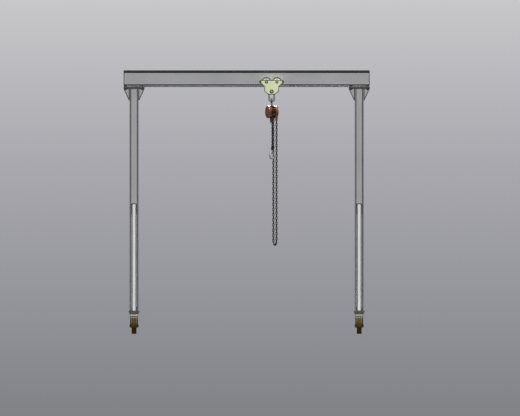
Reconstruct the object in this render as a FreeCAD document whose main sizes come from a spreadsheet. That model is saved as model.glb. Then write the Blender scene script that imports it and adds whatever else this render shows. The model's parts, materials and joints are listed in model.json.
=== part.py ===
"""Portable gantry crane: an I-beam on two braced posts with swivel casters, a push trolley and a hand
chain hoist. Millimetres, +Z up, +X along the beam, origin on the floor at the middle of the footprint."""
import FreeCAD, Part
import math
import os

V = FreeCAD.Vector
doc = FreeCAD.newDocument("portable_gantry_crane")

SIZES = {
    # beam: S8 rolled section with tapered flanges
    "beam_length": 3000, "beam_depth": 203.2, "beam_width": 101.6, "beam_web": 6.9,
    "beam_flange_edge": 6.9, "beam_taper": 6, "beam_root_radius": 8, "beam_underside": 3010,
    # posts and their heads
    "post_offset": 1372.5, "post_width": 110, "post_corner": 20, "tube_wall": 5,
    "head_length": 255, "head_width": 130, "head_thickness": 15,
    "gusset_reach": 72, "gusset_height": 150, "gusset_thickness": 10, "gusset_lip": 12,
    # bolts that clamp the beam to the heads (M20)
    "beam_bolt_radius": 10, "beam_bolt_flats": 30, "beam_bolt_x": 100, "beam_bolt_y": 28, "washer_side": 30,
    # side frames
    "brace_width": 60, "brace_corner": 10, "brace_top": 1593, "sole_top": 277, "sole_thickness": 15,
    "sole_width": 134, "sole_half_length": 780, "caster_y": 700,
    # casters
    "wheel_radius": 101.6, "wheel_tread": 60, "trail": 50, "fork_half_width": 48, "fork_leg": 7,
    "caster_plate_x": 116, "caster_plate_y": 110, "caster_plate_thickness": 10, "axle_radius": 10,
    "caster_bolt_x": 44, "caster_bolt_y": 40, "caster_bolt_radius": 6, "caster_bolt_length": 36,
    "kingpin_radius": 8,
    "race_radius": 36, "race_ball_radius": 3.8, "race_ball_count": 18,
    # trolley
    "trolley_x": 305, "trolley_axle_z": 3070.7, "trolley_axle_x": 64, "trolley_rim_radius": 62.5,
    "side_plate_inner": 62, "side_plate_thickness": 10, "side_plate_half_length": 134,
    "load_bar_z": 2955, "load_bar_radius": 15, "stub_radius": 12.5, "buffer_length": 16,
    # suspension shackle
    "shackle_width": 80, "shackle_thickness": 18, "shackle_bottom": 2829, "shackle_slot": 40,
    "top_hook_section": 10.5, "top_hook_shank": 8,
    # hoist, in its own frame: local X is the axis of its wheels
    "hoist_z": 2706, "hoist_yaw": 20, "hoist_radius": 76, "cover_wall": 3,
    "sheave_radius": 27.7, "load_wire": 3.5, "load_pitch": 21, "load_link_width": 23.5,
    "hand_wheel_radius": 55, "hand_wheel_x": 43, "hand_wire": 3.5, "hand_pitch": 31.6,
    "hand_link_width": 24, "hand_chain_links": 110,
    "gear_module": 1.75, "pinion_teeth": 12, "disc_teeth": 30,
    # load hook
    "hook_block_z": 2263, "hook_bowl_radius": 17, "hook_section": 9,
}

sheet = doc.addObject("Spreadsheet::Sheet", "Sizes")
for row, (alias, value) in enumerate(SIZES.items(), start=1):
    sheet.set(f"A{row}", alias)
    sheet.set(f"B{row}", str(value))
    sheet.setAlias(f"B{row}", alias)
doc.recompute()


def size(alias):
    """A driving dimension, read from the sheet."""
    return float(sheet.get(alias))


# ---------------------------------------------------------------- helpers

NODES = []
GAP = 0.3           # between pieces of different bodies
RUNNING = 0.05      # radial clearance of a shaft in its hole
CHAIN_PLAY = 0.8    # between one link and the next


def keep(obj, label):
    """Make obj a node of the crane."""
    obj.Label = label
    NODES.append(obj)
    return obj


def feature(label, shape, place=None):
    """A node whose shape is worked out in code."""
    obj = doc.addObject("Part::Feature", label)
    obj.Shape = shape
    if place is not None:
        obj.Placement = place.multiply(shape.Placement)
    return keep(obj, label)


def group(shapes):
    return Part.makeCompound(list(shapes))


def corner_ring(corners):
    """Closed outline through (x, y, radius) corners, as sketch geometry with an arc at each radius."""
    count = len(corners)
    starts, ends, arcs = [], [], []
    for index, (x, y, radius) in enumerate(corners):
        here = V(x, y, 0)
        before = V(*corners[index - 1][:2], 0) - here
        after = V(*corners[(index + 1) % count][:2], 0) - here
        before.normalize()
        after.normalize()
        if radius <= 0:
            starts.append(here)
            ends.append(here)
            arcs.append(None)
            continue
        half = before.getAngle(after) / 2
        reach = radius / math.tan(half)
        middle = before + after
        middle.normalize()
        top = here + middle * (radius / math.sin(half) - radius)
        first, last = here + before * reach, here + after * reach
        starts.append(first)
        ends.append(last)
        arcs.append(Part.Arc(first, top, last))
    ring = []
    for index in range(count):
        if arcs[index] is not None:
            ring.append(arcs[index])
        following = starts[(index + 1) % count]
        if (following - ends[index]).Length > 1e-6:
            ring.append(Part.LineSegment(ends[index], following))
    return ring


def circle_ring(x, y, radius):
    return [Part.Circle(V(x, y, 0), V(0, 0, 1), radius)]


def rectangle(width, height, radius=0.0):
    a, b = width / 2, height / 2
    return corner_ring([(-a, -b, radius), (a, -b, radius), (a, b, radius), (-a, b, radius)])


def face_of(ring):
    """Flat face in the XY plane inside a closed outline of sketch geometry."""
    return Part.Face(Part.Wire([edge.toShape() for edge in ring]))


def new_sketch(body, role, rings):
    """Sketch on one of the body's own origin planes."""
    sketch = body.newObject("Sketcher::SketchObject", body.Name + "_sketch")
    plane = next(part for part in body.Origin.OriginFeatures if part.Role == role)
    sketch.AttachmentSupport = (plane, [""])
    sketch.MapMode = "FlatFace"
    for ring in rings:
        for edge in ring:
            sketch.addGeometry(edge, False)
    return sketch


def padded(label, role, rings, thickness, place=None):
    """Plate or bar: a sketch padded equally both ways. thickness is an expression."""
    body = doc.addObject("PartDesign::Body", label)
    sketch = new_sketch(body, role, rings)
    pad = body.newObject("PartDesign::Pad", label + "_pad")
    pad.Profile = sketch
    pad.Midplane = True
    pad.setExpression("Length", thickness)
    if place is not None:
        body.Placement = place
    return keep(body, label)


def at(x=0.0, y=0.0, z=0.0, axis=V(0, 0, 1), angle=0.0):
    return FreeCAD.Placement(V(x, y, z), FreeCAD.Rotation(axis, angle))


def moved(shape, place):
    copy = shape.copy()
    copy.Placement = place.multiply(copy.Placement)
    return copy


def block(x0, x1, y0, y1, z0, z1):
    return Part.makeBox(x1 - x0, y1 - y0, z1 - z0, V(x0, y0, z0))


def rod(radius, start, end):
    """Cylinder from one point to another."""
    run = end - start
    return Part.makeCylinder(radius, run.Length, start, run)


def turned(profile, axis=V(0, 0, 1)):
    """Solid turned about Z and then laid along axis, from (radius, height) or (radius, height, rounding)."""
    face = face_of(corner_ring([corner if len(corner) == 3 else (*corner, 0) for corner in profile]))
    face.rotate(V(0, 0, 0), V(1, 0, 0), 90)
    solid = face.revolve(V(0, 0, 0), V(0, 0, 1), 360)
    if (axis - V(0, 0, 1)).Length > 1e-6:
        solid.Placement = FreeCAD.Placement(V(0, 0, 0), FreeCAD.Rotation(V(0, 0, 1), axis))
    return solid


def hexagon(flats, height):
    """Hexagonal prism standing on the XY plane, with its corners turned off at the top."""
    corner = flats / math.sqrt(3)
    angles = [math.radians(60 * k) for k in range(7)]
    points = [V(corner * math.cos(angle), corner * math.sin(angle), 0) for angle in angles]
    prism = Part.Face(Part.makePolygon(points)).extrude(V(0, 0, height))
    rim = 0.06 * flats
    crown = turned([(0, 0), (corner, 0), (corner, height - rim), (corner - 2 * rim, height), (0, height)])
    return prism.common(crown)


def bolt(radius, flats, head, length):
    """Bolt with its head on the XY plane and its shank running down."""
    shank = turned([
        (0, -length), (radius * 0.8, -length), (radius, -length + radius * 0.3), (radius, 0.5), (0, 0.5),
    ])
    return hexagon(flats, head).fuse(shank).removeSplitter()


def nut(radius, flats, height):
    """Nut standing on the XY plane. Its bore equals the bolt's shank."""
    return hexagon(flats, height).cut(Part.makeCylinder(radius, height + 2, V(0, 0, -1)))


def tapered_sweep(points, radii, normal):
    """Round bar of changing radius along a smooth plane curve through points; normal is the plane's."""
    curve = Part.BSplineCurve()
    curve.interpolate(points)
    wires = []
    for radius, parameter in zip(radii, curve.getKnots()):
        circle = Part.Circle(curve.value(parameter), curve.tangent(parameter)[0], radius)
        circle.XAxis = normal
        wires.append(Part.Wire([circle.toShape()]))
    return Part.makeLoft(wires, True, False)


SIDES = {"left": -1, "right": 1}
ENDS = {"front": -1, "rear": 1}

# ---------------------------------------------------------------- beam

half_depth = size("beam_depth") / 2
half_flange = size("beam_width") / 2
half_web = size("beam_web") / 2
flange_root = size("beam_flange_edge") + (half_flange - half_web) / size("beam_taper")


def quarter(sign_y, sign_z):
    """Corners of a quarter of the section, from flange tip to web."""
    root = size("beam_root_radius")
    return [
        (sign_y * half_flange, sign_z * half_depth, 0),
        (sign_y * half_flange, sign_z * (half_depth - size("beam_flange_edge")), 2.5),
        (sign_y * half_web, sign_z * (half_depth - flange_root), root),
    ]


beam_ring = corner_ring(quarter(1, 1) + quarter(1, -1)[::-1] + quarter(-1, -1) + quarter(-1, 1)[::-1])
beam_centre = at(0, 0, size("beam_underside") + half_depth)
main_beam = padded("main_beam", "YZ_Plane", [beam_ring], "Sizes.beam_length", beam_centre)
beam_holes = main_beam.newObject("Sketcher::SketchObject", "beam_holes")
beam_holes.AttachmentSupport = (next(p for p in main_beam.Origin.OriginFeatures if p.Role == "XY_Plane"), [""])
beam_holes.MapMode = "FlatFace"
bolt_spots = [
    (side * size("post_offset") + a * size("beam_bolt_x"), b * size("beam_bolt_y"))
    for side in SIDES.values() for a in (-1, 1) for b in (-1, 1)
]
for x, y in bolt_spots:
    beam_holes.addGeometry(circle_ring(x, y, size("beam_bolt_radius") + 1)[0], False)
beam_pocket = main_beam.newObject("PartDesign::Pocket", "beam_bolt_holes")
beam_pocket.Profile = beam_holes
beam_pocket.Length = size("beam_depth")
beam_pocket.Reversed = False

# ---------------------------------------------------------------- posts and heads

post_top = size("beam_underside") - size("head_thickness")
post_half = size("post_width") / 2


def tube_rings(width, corner, wall):
    return [rectangle(width, width, corner), rectangle(width - 2 * wall, width - 2 * wall, corner - wall)]


for side, sign in SIDES.items():
    padded(
        f"post_{side}", "XY_Plane", tube_rings(size("post_width"), size("post_corner"), size("tube_wall")),
        "Sizes.beam_underside - Sizes.head_thickness - Sizes.sole_top",
        at(sign * size("post_offset"), 0, (post_top + size("sole_top")) / 2),
    )

head_holes = [
    circle_ring(a * size("beam_bolt_x"), b * size("beam_bolt_y"), size("beam_bolt_radius") + 1)
    for a in (-1, 1) for b in (-1, 1)
]
head_outline = rectangle(size("head_length"), size("head_width"), 4)
head_wires = [Part.Wire([edge.toShape() for edge in ring]) for ring in [head_outline] + head_holes]
head_plate = Part.makeFace(head_wires, "Part::FaceMakerBullseye").extrude(V(0, 0, size("head_thickness")))
feature("head_plates", group(
    moved(head_plate, at(sign * size("post_offset"), 0, post_top)) for sign in SIDES.values()
))


def gusset(direction):
    """Triangular plate between post and head, with a short upright lip at its outer end."""
    inner, outer = post_half, post_half + size("gusset_reach")
    foot = post_top - size("gusset_height")
    corners = [
        V(inner, 0, post_top), V(outer, 0, post_top), V(outer, 0, post_top - size("gusset_lip")),
        V(inner + 8, 0, foot), V(inner, 0, foot),
    ]
    plate = Part.Face(Part.makePolygon(corners + corners[:1])).extrude(V(0, size("gusset_thickness"), 0))
    plate.translate(V(0, -size("gusset_thickness") / 2, 0))
    return plate if direction > 0 else plate.mirror(V(0, 0, 0), V(1, 0, 0))


feature("gussets", group(
    moved(gusset(direction), at(sign * size("post_offset"), 0, 0))
    for sign in SIDES.values() for direction in (-1, 1)
))

# bolts, tapered washers and nuts on the beam's lower flange
washer_inner = size("beam_bolt_y") - size("washer_side") / 2
washer_outer = size("beam_bolt_y") + size("washer_side") / 2


def flange_top(y):
    """Height of the lower flange's sloping upper face at a distance from the beam's centre plane."""
    return size("beam_underside") + size("beam_flange_edge") + (half_flange - abs(y)) / size("beam_taper")


washer_top = flange_top(washer_inner) + 2.5


def tapered_washer(sign):
    """Square washer that is level on top and follows the flange below."""
    inner, outer = sign * washer_inner, sign * washer_outer
    section = [
        V(0, inner, flange_top(inner)), V(0, outer, flange_top(outer)),
        V(0, outer, washer_top), V(0, inner, washer_top),
    ]
    solid = Part.Face(Part.makePolygon(section + section[:1])).extrude(V(size("washer_side"), 0, 0))
    solid.translate(V(-size("washer_side") / 2, 0, 0))
    hole = Part.makeCylinder(size("beam_bolt_radius") + 1, 60, V(0, sign * size("beam_bolt_y"), post_top))
    return solid.cut(hole)


nut_height = 16
bolt_length = washer_top - post_top + nut_height + 8
beam_bolt = bolt(size("beam_bolt_radius"), size("beam_bolt_flats"), 12.5, bolt_length)
beam_nut = nut(size("beam_bolt_radius"), size("beam_bolt_flats"), nut_height)
feature("taper_washers", group(
    moved(tapered_washer(math.copysign(1, y)), at(x, 0, 0)) for x, y in bolt_spots
))
feature("beam_bolts", group(moved(beam_bolt, at(x, y, washer_top)) for x, y in bolt_spots))
feature("beam_nuts", group(moved(beam_nut, at(x, y, post_top - nut_height)) for x, y in bolt_spots))

# ---------------------------------------------------------------- side frames

sole_top = size("sole_top")
sole_bottom = sole_top - size("sole_thickness")
brace_half = size("brace_width") / 2
brace_wall = size("tube_wall") - 1
brace_lean = math.atan2(size("caster_y") - post_half, size("brace_top") - sole_top)
for _ in range(20):     # the lean and the height that it takes on the post depend on each other
    centre_top = size("brace_top") - brace_half / math.sin(brace_lean)
    brace_lean = math.atan2(size("caster_y") - post_half, centre_top - sole_top)


def brace_faces():
    """Outer and inner square of the side frames' tube."""
    width, corner = size("brace_width"), size("brace_corner")
    inside = width - 2 * brace_wall
    return [face_of(rectangle(width, width, corner)), face_of(rectangle(inside, inside, corner - brace_wall))]


def brace(end):
    """Square tube leaning from the sole plate to the post, cut level below and upright above."""
    up = V(0, -end * math.sin(brace_lean), math.cos(brace_lean))
    foot = V(0, end * size("caster_y"), sole_top)
    solids = []
    for face in brace_faces():
        face.Placement = FreeCAD.Placement(foot - up * 80, FreeCAD.Rotation(V(1, 0, 0), V(0, 0, 0), up, "ZXY"))
        solids.append(face.extrude(up * 1700))
    tube = solids[0].cut(solids[1])
    inner, outer = sorted((end * post_half, end * 900))
    return tube.common(block(-100, 100, inner, outer, sole_top, size("brace_top") + 50))


def brace_inner_face(z):
    """Distance from the crane's middle plane to a brace's lower face, at a height."""
    return size("caster_y") - (z - sole_top) * math.tan(brace_lean) - brace_half / math.cos(brace_lean)


def rail(end):
    """Square tube from the post's face to the brace, mitred to the brace's lean."""
    reach = brace_inner_face(sole_top)
    top = sole_top + size("brace_width")
    solids = []
    for face in brace_faces():
        face.Placement = at(0, 0, sole_top + brace_half, V(1, 0, 0), 90)
        solids.append(face.extrude(V(0, -reach, 0)))
    tube = solids[0].cut(solids[1])
    section = [
        V(-40, -post_half, sole_top), V(-40, -reach, sole_top),
        V(-40, -brace_inner_face(top), top), V(-40, -post_half, top),
    ]
    limit = Part.Face(Part.makePolygon(section + section[:1])).extrude(V(80, 0, 0))
    tube = tube.common(limit)
    return tube if end < 0 else tube.mirror(V(0, 0, 0), V(0, 1, 0))


caster_bolt_spots = [(a * size("caster_bolt_x"), b * size("caster_bolt_y")) for a in (-1, 1) for b in (-1, 1)]
sole_rings = [rectangle(size("sole_width"), 2 * size("sole_half_length"), 6)]
for end_sign in ENDS.values():
    sole_rings += [
        circle_ring(x, end_sign * size("caster_y") + y, size("caster_bolt_radius") + 0.5)
        for x, y in caster_bolt_spots
    ]
for side, sign in SIDES.items():
    place = at(sign * size("post_offset"), 0, 0)
    for end, end_sign in ENDS.items():
        feature(f"brace_{side}_{end}", brace(end_sign), place)
    padded(
        f"sole_plate_{side}", "XY_Plane", sole_rings, "Sizes.sole_thickness",
        at(sign * size("post_offset"), 0, (sole_top + sole_bottom) / 2),
    )
feature("base_rails", group(
    moved(rail(end_sign), at(sign * size("post_offset"), 0, 0))
    for sign in SIDES.values() for end_sign in ENDS.values()
))

# ---------------------------------------------------------------- casters, built about the swivel axis

plate_bottom = sole_bottom - size("caster_plate_thickness")
cup_bottom = plate_bottom - 6
crown_top = cup_bottom - 8
crown_bottom = crown_top - 9
lip_radius = size("race_radius") + 11
race_z = (cup_bottom + crown_top) / 2
wheel_z = size("wheel_radius")
fork_inner = size("fork_half_width") - size("fork_leg")


def race_groove():
    return Part.makeTorus(size("race_radius"), size("race_ball_radius") + 0.1, V(0, 0, race_z))


def caster_plate():
    """Plate with the upper ball race below it and a recess for the kingpin's head."""
    plate = block(
        -size("caster_plate_x") / 2, size("caster_plate_x") / 2, -size("caster_plate_y") / 2,
        size("caster_plate_y") / 2, plate_bottom, sole_bottom,
    )
    upright = [edge for edge in plate.Edges if abs(edge.tangentAt(edge.FirstParameter).z) > 0.9]
    plate = plate.makeFillet(10, upright)
    plate = plate.fuse(Part.makeCylinder(lip_radius, plate_bottom - cup_bottom, V(0, 0, cup_bottom)))
    plate = plate.cut(race_groove())
    plate = plate.cut(Part.makeCylinder(size("kingpin_radius"), 60, V(0, 0, cup_bottom - 5)))
    plate = plate.cut(Part.makeCylinder(size("kingpin_radius") + 5, 20, V(0, 0, sole_bottom - 5)))
    for x, y in caster_bolt_spots:
        plate = plate.cut(Part.makeCylinder(size("caster_bolt_radius") + 0.5, 60, V(x, y, cup_bottom - 5)))
    return plate


def kingpin():
    """Headed pin through plate and crown, with its nut below."""
    radius = size("kingpin_radius")
    bottom = crown_bottom - GAP
    return turned([
        (0, sole_bottom - 0.2), (radius + 4.8, sole_bottom - 0.2), (radius + 4.8, sole_bottom - 5),
        (radius, sole_bottom - 5), (radius, bottom), (radius + 5, bottom), (radius + 5, bottom - 10),
        (radius - 1, bottom - 12), (0, bottom - 12),
    ])


def race_balls():
    radius, count = size("race_radius"), int(size("race_ball_count"))
    balls = []
    for index in range(count):
        angle = 2 * math.pi * index / count
        centre = V(radius * math.cos(angle), radius * math.sin(angle), race_z)
        balls.append(Part.makeSphere(size("race_ball_radius") - 0.2, centre))
    return balls


NOSE_START = 40         # where the fork's nose begins, from the swivel axis
NOSE_CLEARANCE = 5      # over the tread
AXLE_HEAD = 7           # height of the axle bolt's head and of its nut


def fork(trail):
    """Pressed fork: a crown with a lip about the balls, a nose that turns down over the wheel and two legs
    that trail back to the axle."""
    way = math.copysign(1, trail)
    half = size("fork_half_width")
    side = face_of(corner_ring([
        (-way * 46, crown_top, 6), (way * 46, crown_top, 6), (way * 56, 205, 30),
        (trail + way * 30, wheel_z + 12, 24), (trail + way * 26, wheel_z - 26, 24),
        (trail - way * 26, wheel_z - 26, 24), (trail - way * 30, wheel_z + 12, 24), (-way * 34, 196, 30),
    ]))
    side.Placement = FreeCAD.Placement(
        V(-half, 0, 0), FreeCAD.Rotation(V(0, 1, 0), V(0, 0, 1), V(1, 0, 0), "ZXY"))
    solid = side.extrude(V(2 * half, 0, 0))
    nose_y = sorted((way * NOSE_START, way * 90))
    nose = block(-half, half, *nose_y, 190, crown_bottom + 1)
    nose = nose.cut(rod(size("wheel_radius") + NOSE_CLEARANCE, V(-80, trail, wheel_z), V(80, trail, wheel_z)))
    hollow = block(-fork_inner, fork_inner, -200, 200, 0, crown_bottom).cut(nose)
    solid = solid.cut(hollow)
    front = face_of(corner_ring([(-half, 0, 0), (half, 0, 0), (half, crown_top, 9), (-half, crown_top, 9)]))
    front.rotate(V(0, 0, 0), V(1, 0, 0), 90)
    front.translate(V(0, 300, 0))
    solid = solid.common(front.extrude(V(0, -600, 0)))
    lip = Part.makeCylinder(lip_radius, cup_bottom - 0.6 - crown_bottom, V(0, 0, crown_bottom))
    lip = lip.cut(Part.makeCylinder(lip_radius - 5, 30, V(0, 0, crown_top)))
    solid = solid.fuse(lip)
    solid = solid.cut(race_groove())
    solid = solid.cut(Part.makeCylinder(size("kingpin_radius") + RUNNING, 80, V(0, 0, crown_bottom - 20)))
    return solid.cut(rod(size("axle_radius"), V(-80, trail, wheel_z), V(80, trail, wheel_z))).removeSplitter()


def caster_axle(trail):
    """Axle bolt with its nut, two thrust washers and the rollers that the wheel turns on."""
    radius = size("axle_radius")
    outer = size("fork_half_width")
    screw = bolt(radius, 30, AXLE_HEAD, 2 * outer + AXLE_HEAD + 1)
    screw.Placement = FreeCAD.Placement(V(outer, trail, wheel_z), FreeCAD.Rotation(V(0, 0, 1), V(1, 0, 0)))
    lock_nut = nut(radius, 30, AXLE_HEAD)
    lock_nut.Placement = FreeCAD.Placement(V(-outer, trail, wheel_z), FreeCAD.Rotation(V(0, 0, 1), V(-1, 0, 0)))
    washers = []
    for sign in (-1, 1):
        washer = rod(17, V(sign * (fork_inner - 2.7), trail, wheel_z), V(sign * fork_inner, trail, wheel_z))
        washers.append(washer.cut(rod(radius, V(-90, trail, wheel_z), V(90, trail, wheel_z))))
    rollers = []
    for index in range(12):
        angle = math.radians(30 * index)
        y, z = trail + 13 * math.cos(angle), wheel_z + 13 * math.sin(angle)
        rollers.append(rod(2.8, V(-33, y, z), V(33, y, z)))
    return group([screw, lock_nut] + washers + rollers)


def caster_wheel(trail):
    """Moulded wheel with a crowned tread, dished sides and a long hub."""
    half, radius = size("wheel_tread") / 2, size("wheel_radius")
    bore = 16
    profile = [
        (bore, -38), (26, -38, 2), (31, -20, 5), (73, -20, 5), (79, -half, 3),
        (radius - 1.2, -half, 5), (radius, -14), (radius, 14), (radius - 1.2, half, 5),
        (79, half, 3), (73, 20, 5), (31, 20, 5), (26, 38, 2), (bore, 38),
    ]
    wheel = turned(profile, V(1, 0, 0))
    wheel.translate(V(0, trail, wheel_z))
    return wheel


casters = [(side, end) for side in SIDES for end in ENDS]
caster_places = {
    (side, end): at(SIDES[side] * size("post_offset"), ENDS[end] * size("caster_y"), 0) for side, end in casters
}
feature("caster_plates", group(moved(caster_plate(), caster_places[key]) for key in casters))
feature("kingpins", group(moved(kingpin(), caster_places[key]) for key in casters))
feature("swivel_balls", group(moved(ball, caster_places[key]) for key in casters for ball in race_balls()))
caster_screw = bolt(size("caster_bolt_radius"), 19, 8, size("caster_bolt_length"))
caster_nut = nut(size("caster_bolt_radius"), 19, 10)
fastener_places = [
    caster_places[key].multiply(at(x, y, 0)) for key in casters for x, y in caster_bolt_spots
]
feature("caster_bolts", group(
    [moved(caster_screw, place.multiply(at(0, 0, sole_top))) for place in fastener_places]
    + [moved(caster_nut, place.multiply(at(0, 0, plate_bottom - 10))) for place in fastener_places]
))
for side, end in casters:
    trail = ENDS[end] * size("trail")
    place = caster_places[(side, end)]
    feature(f"caster_fork_{side}_{end}", fork(trail), place)
    feature(f"caster_axle_{side}_{end}", caster_axle(trail), place)
    feature(f"caster_wheel_{side}_{end}", caster_wheel(trail), place)

# ---------------------------------------------------------------- trolley

trolley_place = at(size("trolley_x"), 0, 0)
plate_inner = size("side_plate_inner")
plate_outer = plate_inner + size("side_plate_thickness")
axle_z = size("trolley_axle_z")
bar_z = size("load_bar_z")
arm_half, arm_top, arm_bottom = size("side_plate_half_length"), 3095, 3047

side_plate_outline = corner_ring([
    (-arm_half, arm_bottom, 2), (-arm_half, arm_top, 2), (arm_half, arm_top, 2), (arm_half, arm_bottom, 2),
    (126, arm_bottom, 6), (89, 3014, 10), (89, 2957, 8), (43, 2918, 6),
    (-43, 2918, 6), (-89, 2957, 8), (-89, 3014, 10), (-126, arm_bottom, 6),
])


LUG_Y = 34      # inner edge of a lug, from the beam's centre plane


def side_plate(sign):
    """Trolley side plate with lugs turned in over the flange at both ends of its arms."""
    face = face_of(side_plate_outline)
    face.rotate(V(0, 0, 0), V(1, 0, 0), 90)
    plate = face.extrude(V(0, -size("side_plate_thickness"), 0))
    plate.translate(V(0, plate_outer if sign > 0 else -plate_inner, 0))
    for end in (-1, 1):
        x0, x1 = sorted((end * (arm_half - 6), end * arm_half))
        y0, y1 = sorted((sign * LUG_Y, sign * (plate_inner + 2)))
        plate = plate.fuse(block(x0, x1, y0, y1, arm_bottom + 3, arm_top - 3))
    holes = [
        rod(size("stub_radius"), V(x, -100, axle_z), V(x, 100, axle_z))
        for x in (-size("trolley_axle_x"), size("trolley_axle_x"))
    ]
    holes.append(rod(size("load_bar_radius") + 0.2, V(0, -100, bar_z), V(0, 100, bar_z)))
    for hole in holes:
        plate = plate.cut(hole)
    return plate.removeSplitter()


feature("trolley_plate_front", side_plate(-1), trolley_place)
feature("trolley_plate_rear", side_plate(1), trolley_place)


def buffer(end, sign):
    """Rubber block on the outside of a lug."""
    x0, x1 = sorted((end * arm_half, end * (arm_half + size("buffer_length"))))
    y0, y1 = sorted((sign * (LUG_Y + 2), sign * plate_outer))
    solid = block(x0, x1, y0, y1, arm_bottom + 5, arm_top - 3)
    free_edges = [edge for edge in solid.Edges if abs(edge.BoundBox.Center.x - end * arm_half) > 1]
    return solid.makeFillet(3, free_edges)


feature("trolley_buffers", group(buffer(end, sign) for end in (-1, 1) for sign in (-1, 1)), trolley_place)

bar_half = 112
load_bar = rod(size("load_bar_radius"), V(0, -bar_half, bar_z), V(0, bar_half, bar_z))
feature("load_bar", load_bar.makeChamfer(2, load_bar.Edges), trolley_place)
bar_fittings = []
for sign in (-1, 1):
    outward = FreeCAD.Rotation(V(0, 0, 1), V(0, sign, 0))
    for start, shape in (
        (plate_outer, nut(size("load_bar_radius"), 46, 20)),
        (plate_outer + 20.2, nut(size("load_bar_radius"), 46, 12)),
        (plate_inner - 20, nut(size("load_bar_radius"), 46, 20)),
    ):
        bar_fittings.append(moved(shape, FreeCAD.Placement(V(0, sign * start, bar_z), outward)))
    spacer_ends = [V(0, sign * y, bar_z) for y in (size("shackle_thickness") / 2 + GAP, plate_inner - 20.2)]
    bar_fittings.append(rod(21, *spacer_ends).cut(load_bar))
feature("load_bar_nuts", group(bar_fittings), trolley_place)

stub_end = 18           # inner end of an axle, from the beam's centre plane
stub_flange = 17        # radius of its collar


def trolley_axle(sign):
    """Stub axle: a collar inside the plate, a nut outside, and a head that keeps the wheel on."""
    radius = size("stub_radius")
    profile = [
        (0, stub_end), (18, stub_end), (18, stub_end + 4), (10, stub_end + 4), (10, plate_inner - 3.5),
        (stub_flange, plate_inner - 3.5), (stub_flange, plate_inner), (radius, plate_inner),
        (radius, plate_outer + 18), (radius - 2, plate_outer + 20), (0, plate_outer + 20),
    ]
    axle = turned(profile, V(0, sign, 0))
    lock_nut = nut(radius, 36, 16)
    outward = FreeCAD.Rotation(V(0, 0, 1), V(0, sign, 0))
    lock_nut.Placement = FreeCAD.Placement(V(0, sign * plate_outer, 0), outward)
    return [axle, lock_nut]


def trolley_wheel(sign):
    """Flanged wheel whose tread is tapered to sit on the beam's sloping flange."""
    inner, outer = stub_end + 5, plate_inner - 4.2
    flange, rim = 5.5, size("trolley_rim_radius")
    profile = [
        (10 + RUNNING, inner), (22, inner), (24, inner + 2),
        (axle_z - flange_top(inner + 2) - GAP, inner + 2),
        (axle_z - flange_top(outer - flange) - GAP, outer - flange),
        (rim, outer - flange, 2), (rim, outer, 1.5), (50, outer), (47, outer - 4),
        (24, outer - 4), (22, outer), (10 + RUNNING, outer),
    ]
    return turned(profile, V(0, sign, 0))


axle_shapes = []
for end, end_sign in ENDS.items():
    for side, sign in SIDES.items():
        place = trolley_place.multiply(at(sign * size("trolley_axle_x"), 0, axle_z))
        axle_shapes += [moved(shape, place) for shape in trolley_axle(end_sign)]
        feature(f"trolley_wheel_{end}_{side}", trolley_wheel(end_sign), place)
feature("trolley_axles", group(axle_shapes))

# ---------------------------------------------------------------- suspension shackle

shackle_half = size("shackle_width") / 2
shackle_bar_top = size("shackle_bottom") + 24
slot_half = size("shackle_slot") / 2
shackle = padded(
    "suspension_shackle", "XZ_Plane",
    [
        corner_ring([
            (-shackle_half, size("shackle_bottom"), 26), (shackle_half, size("shackle_bottom"), 26),
            (shackle_half, bar_z + 36, 34), (-shackle_half, bar_z + 36, 34),
        ]),
        corner_ring([
            (-slot_half, shackle_bar_top, 10), (slot_half, shackle_bar_top, 10),
            (slot_half, bar_z - 32, 16), (-slot_half, bar_z - 32, 16),
        ]),
        circle_ring(0, bar_z, size("load_bar_radius") + RUNNING),
    ],
    "Sizes.shackle_thickness", trolley_place,
)

# ---------------------------------------------------------------- top hook, over the shackle's lower bar

hook_wire = size("top_hook_section")
bowl_inner = 17
bowl_z = shackle_bar_top + GAP - math.sqrt(bowl_inner ** 2 - (size("shackle_thickness") / 2) ** 2)
hook_line = bowl_inner + hook_wire
hoist_z = size("hoist_z")
shank_foot = hoist_z + size("hoist_radius") - 18


def top_hook():
    """Forged hook, upside down: tip in front, bowl over the bar, back behind and shank below."""
    points = [V(0, -hook_line + 2, bowl_z - 22)]
    for degrees in (180, 150, 120, 90, 60, 30, 0):
        angle = math.radians(degrees)
        points.append(V(0, hook_line * math.cos(angle), bowl_z + hook_line * math.sin(angle)))
    points += [V(0, y, bowl_z - drop) for y, drop in ((hook_line - 4, 16), (10, 32), (0, 46), (0, 60))]
    radii = [5, 8, 9.5] + [hook_wire] * 6 + [10, 9.2, 8.6]
    hook = tapered_sweep(points, radii, V(1, 0, 0))
    shank = rod(size("top_hook_shank"), V(0, 0, bowl_z - 58), V(0, 0, shank_foot))
    collar = rod(15, V(0, 0, shank_foot - 9), V(0, 0, shank_foot))
    return hook.fuse([shank, collar]).removeSplitter()


def throat_latch(cheek, length, web_start):
    """Sprung latch along X: two cheeks beside the hook, a web across the throat and a pivot pin along Y."""
    outline = [V(-5, 0, -4), V(-5, 0, 4), V(3, 0, 5), V(length, 0, 2), V(length, 0, -1.2), V(3, 0, -5)]
    side = Part.Face(Part.makePolygon(outline + outline[:1])).extrude(V(0, 1.6, 0))
    web = block(web_start, length, -cheek, cheek, -1.2, 1.2)
    pin = rod(2.5, V(0, -cheek - 3.5, 0), V(0, cheek + 3.5, 0))
    far, near = side.copy(), side.copy()
    far.translate(V(0, cheek, 0))
    near.translate(V(0, -cheek - 1.6, 0))
    return far.fuse([near, web, pin]).removeSplitter()


def latch_bore():
    return rod(2.5 + RUNNING, V(0, -30, 0), V(0, 30, 0))


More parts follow.
